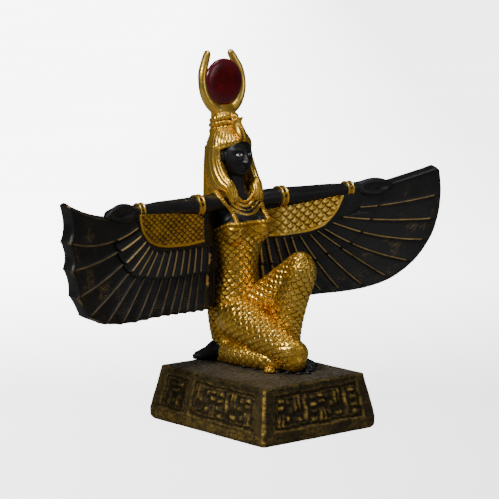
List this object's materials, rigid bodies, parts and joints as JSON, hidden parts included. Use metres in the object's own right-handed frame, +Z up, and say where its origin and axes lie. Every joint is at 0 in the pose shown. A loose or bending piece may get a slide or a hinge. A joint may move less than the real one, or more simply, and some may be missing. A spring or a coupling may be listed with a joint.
{
  "type": "kneeling winged goddess figurine",
  "caption": "Kneeling ancient Egyptian style goddess with spread wings, horned sun-disc crown and scale-patterned dress, on a low battered plinth.",
  "frame": {"origin": "centre of the plinth's underside", "axes": "+Z up, +X towards the tip of the figure's left wing, the figure faces -Y"},
  "size_m": [0.3188, 0.1164, 0.2401],
  "materials": {
    "black_paint": "satin black paint on cast resin, worn gold on the ridges",
    "gold_paint": "bright gold paint with a dark brown wash left in the hollows",
    "plinth_wash": "black-brown base with dry-brushed brassy gold",
    "red_enamel": "glossy dark red enamel"
  },
  "bodies": {
    "root": {"plinth": "plinth_wash", "isis_figure": "black_paint", "sun_disc": "red_enamel"}
  },
  "joints": []
}
